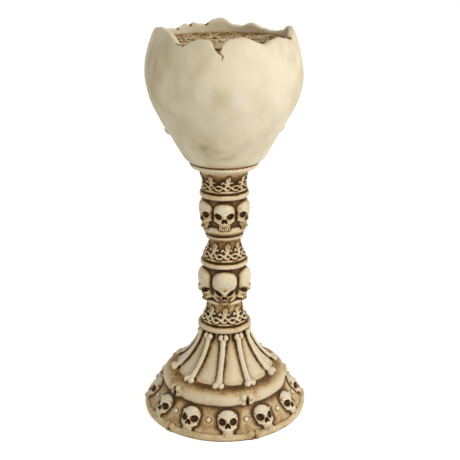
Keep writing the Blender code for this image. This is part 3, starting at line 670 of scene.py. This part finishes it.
def stem_wash_and_shade(x, y, z, outline, bands, skulls):
    """The wash and painted shade over the low ground of the knotwork and the drums, painted shadow round the skulls,
    and wash with painted shade in the eyes and noses of the skulls.

    Each of the bands is a bottom and a top height, with the strength of the wash and painted shade at either.
    """
    low = np.clip(1.0 - np.abs(turned(np.hypot(x, y), z, outline)) / 0.6, 0.0, 1.0)
    amount = np.zeros(z.shape, dtype=np.float32)
    for bottom, top, foot_strength, top_strength in bands:
        strength = foot_strength + (top_strength - foot_strength) * np.clip((z - bottom) / (top - bottom), 0.0, 1.0)
        amount = np.maximum(amount, strength * ((z > bottom) & (z < top)))
    form, hollows, teeth = skulls
    # Painted shadow round each skull.
    edge = np.clip(1.0 - form / 1.5, 0.0, 1.0)
    return 0.23 + low * (amount + 0.40 * edge) + 0.95 * np.clip(0.5 - hollows / 0.5, 0.0, 1.0) + teeth


# Bands of wash and painted shade: under the bowl, in the grooves, below the rings and on the low ground.
UPPER_WASH_AND_SHADE = [
    (169.4, 181.0, 0.60, 0.26), (142.6, 161.8, 0.48, 0.44), (180.6, 184.6, 0.22, 0.05), (186.6, 190.0, 0.6, 0.6),
    (161.6, 162.9, 0.5, 0.5), (166.9, 167.7, 0.5, 0.5), (134.9, 139.4, 1.0, 0.0), (129.0, 133.2, 0.35, 0.3),
    (162.9, 166.9, 0.08, 0.08),
]
carve("upper_stem", upper_stem, (-25, -25, 128.4), (25, 25, 188.2), 0.40,
      hidden=lambda x, y, z: (np.hypot(x, y) < 9.6) | (z < 129.0) | ((z > 187.2) & (np.hypot(x, y) < 21.0)),
      ground=lambda x, y, z: stem_wash_and_shade(x, y, z, upper_outline, UPPER_WASH_AND_SHADE, upper_skulls(x, y, z)))

lower_outline = stem_part(131.0, 62.6)


def lower_stem(x, y, z):
    """The middle band of knotwork, the lower drum, the lowest band and the ring over the bell."""
    form = turned(np.hypot(x, y), z, lower_outline)
    form = join(form, lower_skulls(x, y, z)[0], 0.3)
    form = join(form, knotwork(x, y, z, 118.8, 130.0, start=9.0, foot_radius=13.4), 0.2)
    form = join(form, knotwork(x, y, z, 70.0, 81.8, start=0.0, foot_radius=14.8), 0.2)
    return form + (grain(x, y, z, 2.0) - 0.5) * 0.14


# Bands of wash and painted shade for the lower stem, on the low ground and in the grooves.
LOWER_WASH_AND_SHADE = [
    (118.8, 131.2, 0.62, 0.30), (70.2, 83.0, 0.50, 0.20), (87.2, 112.2, 0.70, 0.54), (116.2, 117.0, 0.2, 0.2),
    (67.7, 68.6, 0.4, 0.4), (62.0, 70.0, 0.09, 0.09),
]
carve("lower_stem", lower_stem, (-21, -21, 62.2), (21, 21, 131.4), 0.41,
      hidden=lambda x, y, z: (np.hypot(x, y) < 9.6) | (z > 130.6) | ((z < 63.0) & (np.hypot(x, y) < 14.5)),
      ground=lambda x, y, z: stem_wash_and_shade(x, y, z, lower_outline, LOWER_WASH_AND_SHADE, lower_skulls(x, y, z)))

# Bowl
# A braincase seen from behind, cast over the collar, with its crown broken away. The wall is about four
# millimetres thick at the broken edge, which a crack runs down from at the front.
BOWL_OUTLINE = [
    (21.6, 185.4), (22.4, 186.8), (25.4, 188.0), (27.4, 189.8), (29.2, 192.2), (31.0, 195.4), (32.8, 198.4),
    (34.2, 201.4), (36.2, 205.0), (38.6, 208.6), (40.8, 212.0), (42.8, 215.6), (45.0, 219.8), (47.2, 224.0),
    (49.2, 228.2), (51.0, 232.8), (52.3, 237.6), (53.1, 242.4), (53.3, 247.0), (53.0, 252.0), (52.4, 257.0),
    (51.2, 262.4), (49.8, 267.4), (48.2, 272.0), (46.6, 276.0), (45.0, 281.0),
]
BROKEN_EDGE = [
    (-180, 279.2), (-176, 279.9), (-169, 278.0), (-163, 275.5), (-158, 275.4), (-151, 277.0), (-147, 275.8),
    (-142, 276.5), (-135, 273.5), (-122, 274.0), (-110, 275.5), (-95, 276.6), (-80, 278.0), (-66, 279.2),
    (-56, 278.8), (-49, 277.5), (-43, 275.2), (-37, 271.8), (-32, 269.6), (-27, 272.2), (-20, 274.4), (-13, 274.2),
    (-10.5, 273.6), (-9, 272.8), (-7, 269.8), (-4.1, 267.7), (-2.9, 267.0), (-2.1, 268.4), (-0.6, 271.4), (1.5, 273.2),
    (4, 274.4), (8, 275.2), (14, 276.0), (19, 275.0), (23, 273.5), (28, 272.0), (32, 271.0), (37, 272.0), (42, 273.5),
    (47, 274.2), (59, 273.2), (63, 271.4), (67, 273.6), (76, 276.6), (90, 278.0), (104, 277.0), (112, 274.6),
    (124, 272.5), (134, 272.5), (143, 273.0), (152, 276.5), (159, 275.5), (165, 274.0), (172, 275.0), (180, 279.2),
]
BROWN_NICKS = (-163.0, -147.0, -133.0, 66.0)
BOWL_FOOT, INNER_FOOT, WALL = 185.6, 264.4, 4.2
OUTER_ROWS, INNER_ROWS = 112, 12
bowl_heights = np.array([z for r, z in BOWL_OUTLINE])
bowl_radii = np.array([r for r, z in BOWL_OUTLINE])
bowl_radii[1:-1] = (bowl_radii[:-2] + 2.0 * bowl_radii[1:-1] + bowl_radii[2:]) / 4.0


def bowl_mesh():
    """The bowl as rows of points, up its outside, over the broken edge and down its inside, closest at the crack.

    Angles are in degrees from the front. Gives the points and faces with their brown wash and painted shade, and grey
    grime.
    """
    angles = np.concatenate([np.arange(-12.0, 6.0, 0.35), np.arange(6.0, 348.0, 0.75)])
    signed = (angles + 180.0) % 360.0 - 180.0
    nicks = sum(np.exp(-((signed - place) / 1.7) ** 2) for place in BROWN_NICKS)
    ax, ay = np.sin(np.radians(angles)), -np.cos(np.radians(angles))
    flat = np.zeros_like(ax)
    flaw = grain(ax * 50, ay * 50, flat, 3.5) - 0.5 + 0.6 * (grain(ax * 50, ay * 50, flat + 9, 1.4) - 0.5)
    rim = np.interp(signed, *zip(*BROKEN_EDGE)) + 0.8 * flaw
    walls, washes_and_shades, grimes = [], [], []

    def add(radius, height, wash_and_shade, grime=0.0):
        """One more row of points. The bowl grows a little longer from front to back than it is wide."""
        squash = 1.0 + 0.04 * np.clip((height - 187.0) / 60.0, 0.0, 1.0)
        walls.append(np.stack([radius * ax, radius * ay * squash, height], 1))
        washes_and_shades.append(wash_and_shade)
        grimes.append(grime + flat)

    for row in range(OUTER_ROWS):
        share = 1.0 - (1.0 - row / (OUTER_ROWS - 1)) ** 1.4
        height = BOWL_FOOT + (rim - 0.5 - BOWL_FOOT) * share
        radius = np.interp(height, bowl_heights, bowl_radii)
        px, py = ax * radius, ay * radius
        lumps = sum(much * (grain(px, py, height, size) - 0.5) for much, size in ((0.9, 26.0), (0.35, 8.0), (0.1, 2.4)))
        knob = np.zeros_like(angles)
        for place, level, tall, proud in ((-97.0, 207.0, 2.8, 3.4), (97.0, 209.0, 3.2, 2.4)):
            away = np.hypot((signed - place) / 6.0, (height - level) / tall)
            knob += proud * np.exp(-away ** 4)
        crack = np.interp(height, [262.0, 263.7, 265.2, 267.2], [-1.4, -1.0, -0.2, -2.9])
        split = np.exp(-((signed - crack) / 0.42) ** 2) * np.clip((height - 262.6) / 1.4, 0.0, 1.0)
        near_edge = np.clip(1.0 - (rim - height) / 2.2, 0.0, 1.0)
        low = np.clip(1.0 - (height - 188.4) / 8.0, 0.0, 1.0)
        cloudy = grain(px, py, height * 0.6, 13.0)
        smudge = np.exp(-((signed + 14.0) / 15.0) ** 2 - ((height - 203.0) / 5.0) ** 2)
        smudge += 0.8 * np.exp(-((signed - 2.0) / 14.0) ** 2 - ((height - 198.0) / 3.0) ** 2)
        streak = 0.7 + 1.8 * (grain(px * 0.5, py, height * 1.4, 3.6) - 0.5)
        specks = np.clip((grain(px + 70.0, py, height, 1.8) - 0.92) * 8.0, 0.0, 1.0)
        # The crack holds wash with painted shade; the low part over the collar and the line where the bowl meets it get
        # painted shade.
        wash_and_shade = 0.05 + 0.8 * split + 0.16 * low ** 2 + 0.10 * near_edge
        wash_and_shade += 0.9 * np.clip(1.0 - (height - 187.2) / 1.1, 0.0, 1.0) + 0.3 * specks
        # The left side is made greyer as a whole.
        left = np.clip((-30.0 - signed) / 35.0, 0.0, 1.0) * np.clip((signed + 170.0) / 60.0, 0.0, 1.0)
        blotch = grain(px, py + 40.0, height * 0.5, 5.0)
        patches = np.clip(0.6 * cloudy + 0.4 * blotch - 0.38, 0.0, 1.0) * (0.85 + 0.35 * left)
        grime = patches + 0.20 * left + 0.72 * smudge * streak
        # Wash with painted shade in the crease round each knob.
        from_knob = np.hypot((signed - 97.0 * np.sign(signed)) / 8.0, (height - 208.0) / 4.4)
        wash_and_shade += 0.26 * np.exp(-(from_knob - 1.0) ** 2 * 9)
        add(radius + lumps + knob - 0.9 * split - 0.5 * near_edge ** 2, height, wash_and_shade, grime)
    for across, drop, wash_and_shade in ((1.1, 0.0, 0.16), (2.0, -0.25, 0.12), (3.0, 0.1, 0.14), (3.8, 0.5, 0.16)):
        radius = np.interp(rim, bowl_heights, bowl_radii) - across
        bits = 0.5 * (grain(ax * radius, ay * radius, rim, 1.1) - 0.5)
        add(radius, rim - drop + bits - 0.4 * nicks, wash_and_shade + 0.6 * nicks)
    for row in range(INNER_ROWS):
        share = (row + 1) / INNER_ROWS
        height = rim - 0.6 + (INNER_FOOT - rim) * share
        radius = np.interp(height, bowl_heights, bowl_radii) - WALL - 0.6 * share
        pits = 0.4 * (grain(ax * radius, ay * radius, height, 3.4) - 0.5)
        # Painted shade grows down the inside of the wall.
        deep = np.clip((271.2 - height) / 3.0, 0.0, 1.0)
        stained = 0.22 * np.exp(-((signed - 82.0) / 16.0) ** 2)
        add(radius + pits, height, 0.10 + stained + 0.65 * deep ** 1.4 + 0.3 * pits)
    count = len(angles)
    ring = np.arange(count)
    following = (ring + 1) % count
    faces = []
    for row in range(len(walls) - 1):
        a, b = row * count, (row + 1) * count
        faces.append(np.stack([a + ring, a + following, b + following, b + ring], 1))
    return np.concatenate(walls), np.concatenate(faces), np.concatenate(washes_and_shades), np.concatenate(grimes)


bowl_vertices, bowl_faces, bowl_wash_and_shade, bowl_grime = bowl_mesh()
finished("bowl", bowl_vertices, bowl_faces, wash_and_shade=bowl_wash_and_shade, grime=bowl_grime)

# Dish
# The floor inside the broken crown, where a candle stands: a shallow hollow modelled as a mat of dried roots, with
# the most wash and painted shade of all between them. Some of the roots hang into the notch and over the low parts of
# the rim.
DISH_RADIUS, FLOOR_SPACING = 41.4, 0.50
line = np.arange(-46.0, 46.01, FLOOR_SPACING)
fx, fy = np.meshgrid(line, line, indexing="ij")
flat = np.zeros_like(fx)
bend_x = fx + 3.0 * (grain(fx, fy, flat, 9.0) - 0.5) + 1.2 * (grain(fx, fy, flat + 5, 3.5) - 0.5)
bend_y = fy + 3.0 * (grain(fx, fy, flat + 20, 9.0) - 0.5) + 1.2 * (grain(fx, fy, flat + 25, 3.5) - 0.5)
veins = np.zeros_like(fx)
for size, level in ((7.5, 0.0), (4.6, 11.0), (3.0, 17.0)):
    vein = 1.0 - np.abs(grain(bend_x, bend_y, flat + level, size) - 0.5) * 2.0 * 3.2
    veins = np.maximum(veins, np.clip(vein, 0.0, 1.0) * (0.72 + 0.28 * (size > 3)))
reach = np.hypot(fx, fy / 1.04)
inner_edge = np.interp(268.0, bowl_heights, bowl_radii) - 4.6
beyond = np.clip((reach - inner_edge) / 2.4, 0.0, 1.0)
floor_height = 265.6 + 1.9 * (reach / 43.0) ** 2 + 1.0 * veins - 4.0 * beyond ** 2
# Wash with painted shade between the roots, which are paler where they stand up.
floor_wash_and_shade = 0.95 - 0.50 * veins ** 1.4
number = np.full(fx.shape, -1)
kept = reach < inner_edge + 2.6
number[kept] = np.arange(kept.sum())
floor_vertices = np.stack([fx[kept], fy[kept], floor_height[kept]], 1)
floor_faces = np.stack([number[:-1, :-1], number[1:, :-1], number[1:, 1:], number[:-1, 1:]], -1).reshape(-1, 4)
floor_faces = floor_faces[(floor_faces >= 0).all(1)]
finished("dish", floor_vertices, floor_faces, wash_and_shade=floor_wash_and_shade[kept])


STRAND_SIDES = 6


def strands(name, paths, thick, shade):
    """Round strands along the paths, thin at their ends, with painted light on top and painted shade underneath."""
    count, steps_along = paths.shape[:2]
    forward = np.gradient(paths, axis=1)
    forward /= np.linalg.norm(forward, axis=2, keepdims=True) + 1e-9
    across = np.cross(forward, (0.0, 0.0, 1.0))
    across /= np.linalg.norm(across, axis=2, keepdims=True) + 1e-9
    above = np.cross(across, forward)
    share = np.linspace(0.0, 1.0, steps_along)
    taper = 0.12 + 0.88 * np.sin(math.pi * share) ** 0.45
    knots = 1.0 + 0.22 * np.sin(share * 19.0 + np.arange(count)[:, None] * 2.3)
    width = (thick[:, None] * taper * knots)[..., None]
    rings, washes_and_shades = [], []
    for side in range(STRAND_SIDES):
        turn = 2.0 * math.pi * side / STRAND_SIDES
        rings.append(paths + width * (math.cos(turn) * across + math.sin(turn) * above))
        # Painted light on the top of each strand and painted shade underneath it.
        washes_and_shades.append(np.repeat(shade[:, None] + 0.34 * (0.75 - math.sin(turn)), steps_along, axis=1))
    vertices = np.stack(rings, 2).reshape(-1, 3)
    wash_and_shade = np.stack(washes_and_shades, 2).reshape(-1)
    first = (np.arange(count)[:, None] * steps_along + np.arange(steps_along - 1)[None]).ravel() * STRAND_SIDES
    second = first + STRAND_SIDES
    faces = []
    for side in range(STRAND_SIDES):
        following = (side + 1) % STRAND_SIDES
        faces.append(np.stack([first + side, first + following, second + following, second + side], 1))
    for end, order in ((0, 1), (steps_along - 1, -1)):
        ring = (np.arange(count) * steps_along + end) * STRAND_SIDES
        for corners in ((3, 2, 1, 0), (5, 4, 3, 0)):
            faces.append(np.stack([ring + corner for corner in corners], 1)[:, ::order])
    finished(name, vertices, np.concatenate(faces), wash_and_shade=wash_and_shade)


def dish_level(x, y):
    """The height of the hollow that the roots lie in."""
    return 266.0 + 2.0 * (np.hypot(x, y) / DISH_RADIUS) ** 2


MAIN_ROOTS = 7
main_paths = []
for k in range(MAIN_ROOTS):
    aside = DISH_RADIUS * (1.6 * (k + 0.5) / MAIN_ROOTS - 0.8)
    half = math.sqrt(DISH_RADIUS ** 2 - aside ** 2)
    bends = aside + np.array([0.0, -1.8, 1.8, -1.8, 0.0]) * (-1.0) ** k
    along = half * np.linspace(-1.0, 1.0, 33)
    across = np.interp(along, half * np.linspace(-1.0, 1.0, 5), bends)
    main_paths.append(np.stack([along, across, dish_level(along, across) + 0.25 * np.sin(along * 0.9 + k)], 1))
strands("main_roots", np.array(main_paths), np.full(MAIN_ROOTS, 1.45), np.full(MAIN_ROOTS, 0.30))

rng = np.random.default_rng(21)
root_count, root_steps = 330, 15
heading = rng.uniform(0.0, 2.0 * math.pi, root_count)
radius = 43.0 * np.sqrt(rng.uniform(0.0, 1.0, root_count))
place = rng.uniform(0.0, 2.0 * math.pi, root_count)
px, py = radius * np.cos(place), radius * np.sin(place)
lift = rng.uniform(0.0, 1.1, root_count)
thick = rng.uniform(0.5, 1.1, root_count)
phase = rng.uniform(0.0, 6.28, root_count)
path = []
for step in range(root_steps):
    heading = heading + rng.normal(0.0, 0.34, root_count)
    px, py = px + 1.0 * np.cos(heading), py + 1.0 * np.sin(heading)
    held = np.minimum(1.0, 43.4 / np.hypot(px, py))
    px, py = px * held, py * held
    arch = lift * (0.5 + 0.7 * np.sin(phase + step * 0.75))
    path.append(np.stack([px, py * 1.02, dish_level(px, py) + 0.1 + arch], 1))
# Roots that arch higher get less painted shade.
strands("fine_roots", np.stack(path, 1), thick, 0.36 + 0.28 * rng.uniform(0.0, 1.0, root_count) - 0.16 * lift)


def spilling(name, count, starts, ends, low, furthest):
    """Roots that run outwards from the dish, drawing together over a low part of the rim.

    starts and ends are the angles that they lie between, and low the heights that they end between.
    """
    share = np.linspace(0.0, 1.0, root_steps)[None]
    begin = rng.uniform(*starts, (count, 1))
    end = rng.uniform(*ends, (count, 1))
    wave = rng.uniform(0.0, 6.28, (count, 1))
    angle = begin + (end - begin) * share ** 0.8 + 0.5 * np.sin(wave + share * 7.0)
    out = 39.0 + (furthest - 39.0) * share ** 0.8 - rng.uniform(0.0, 1.4, (count, 1)) * share
    top = rng.uniform(268.4, 270.2, (count, 1))
    height = top + (rng.uniform(*low, (count, 1)) - top) * share ** 2.2 + 0.3 * np.sin(wave + share * 11.0)
    turn = np.radians(angle)
    paths = np.stack([out * np.sin(turn), -out * np.cos(turn) * 1.03, height], 2)
    strands(name, paths, rng.uniform(0.5, 0.9, count), rng.uniform(0.26, 0.60, count))


spilling("notch_roots", 20, (-13.0, 5.0), (-6.0, -1.2), (266.4, 270.6), 50.4)
spilling("left_edge_roots", 14, (-46.0, -22.0), (-37.0, -27.0), (270.2, 271.8), 49.0)
spilling("right_edge_roots", 10, (22.0, 42.0), (28.0, 35.0), (270.0, 271.2), 48.0)

# Underside
# The flat bottom of the casting, ground level on a belt so that it stands without rocking. It meets the bottom rim
# of the foot bones, and lies a hair above it.
UNDERSIDE_RADIUS, UNDERSIDE_LEVEL = 55.6, 0.05
grid = np.linspace(-1.0, 1.0, 49)
gu, gv = np.meshgrid(grid, grid, indexing="ij")
underside_vertices = np.stack([UNDERSIDE_RADIUS * gu * np.sqrt(1.0 - gv * gv / 2.0),
                               UNDERSIDE_RADIUS * gv * np.sqrt(1.0 - gu * gu / 2.0),
                               np.full(gu.shape, UNDERSIDE_LEVEL)], -1).reshape(-1, 3)
number = np.arange(gu.size).reshape(gu.shape)
underside_faces = np.stack([number[:-1, :-1], number[:-1, 1:], number[1:, 1:], number[1:, :-1]], -1).reshape(-1, 4)
finished("underside", underside_vertices, underside_faces, wash_and_shade=np.full(len(underside_vertices), 0.2))

# Camera and studio
# Set to the photograph's own view: a long lens a little above the rim, looking down at the foot. The plain pale
# floor and the white surround are the studio's.
PAPER_GLOW, SOFT_WORLD, BACKGROUND_WHITE = 0.62, 0.48, 1.0


def seen_background(tree):
    """1 where a ray comes from the camera, or from it by way of a mirror or glass, and 0 for light on the object."""
    path = tree.nodes.new("ShaderNodeLightPath")
    seen = path.outputs["Is Camera Ray"]
    for other in ("Is Glossy Ray", "Is Transmission Ray"):
        either = tree.nodes.new("ShaderNodeMath")
        either.operation = "MAXIMUM"
        tree.links.new(seen, either.inputs[0])
        tree.links.new(path.outputs[other], either.inputs[1])
        seen = either.outputs[0]
    return seen


bpy.ops.mesh.primitive_plane_add(size=8.0, location=(0.0, 0.0, 0.0))
floor = bpy.context.object
floor.name = "floor"
paper = bpy.data.materials.new("floor_paper")
paper.use_nodes = True
tree = paper.node_tree
sheet = tree.nodes["Principled BSDF"]
sheet.inputs["Base Color"].default_value = (0.82, 0.82, 0.82, 1.0)
sheet.inputs["Roughness"].default_value = 0.9
sheet.inputs["Emission Color"].default_value = (1.0, 1.0, 1.0, 1.0)
glow = tree.nodes.new("ShaderNodeMath")
glow.operation = "MULTIPLY"
glow.inputs[1].default_value = PAPER_GLOW
tree.links.new(seen_background(tree), glow.inputs[0])
tree.links.new(glow.outputs[0], sheet.inputs["Emission Strength"])
floor.data.materials.append(paper)

eye = bpy.data.objects.new("camera", bpy.data.cameras.new("camera"))
bpy.context.scene.collection.objects.link(eye)
eye.location = (0.004, -0.5728, 0.3335)
eye.rotation_euler = (math.radians(71.0), 0.0, 0.0)
eye.data.lens = 66.5
eye.data.sensor_width = 36.0
eye.data.clip_start = 0.01
bpy.context.scene.camera = eye


def lamp(name, spot, size, watts, colour):
    """A square lamp that points at the middle of the stem."""
    light = bpy.data.objects.new(name, bpy.data.lights.new(name, "AREA"))
    bpy.context.scene.collection.objects.link(light)
    light.location = spot
    light.data.size = size
    light.data.energy = watts
    light.data.color = colour
    light.rotation_euler = (Vector((0.0, 0.0, 0.16)) - Vector(spot)).to_track_quat("-Z", "Y").to_euler()


lamp("key", (0.75, -0.45, 0.62), 0.45, 5.2, (1.0, 0.97, 0.94))
lamp("fill", (-0.7, -0.7, 0.5), 0.6, 0.9, (1.0, 0.96, 0.90))
lamp("low_fill", (0.4, -0.85, 0.05), 0.7, 1.2, (1.0, 0.97, 0.94))

world = bpy.data.worlds.new("studio")
bpy.context.scene.world = world
world.use_nodes = True
tree = world.node_tree
tree.nodes.clear()
both = tree.nodes.new("ShaderNodeMixShader")
tree.links.new(seen_background(tree), both.inputs["Fac"])
for socket, colour, strength in ((1, (1.0, 0.97, 0.92, 1.0), SOFT_WORLD), (2, (1.0, 1.0, 1.0, 1.0), BACKGROUND_WHITE)):
    light = tree.nodes.new("ShaderNodeBackground")
    light.inputs["Color"].default_value = colour
    light.inputs["Strength"].default_value = strength
    tree.links.new(light.outputs[0], both.inputs[socket])
out = tree.nodes.new("ShaderNodeOutputWorld")
tree.links.new(both.outputs[0], out.inputs["Surface"])

bpy.context.scene.view_settings.view_transform = "Standard"
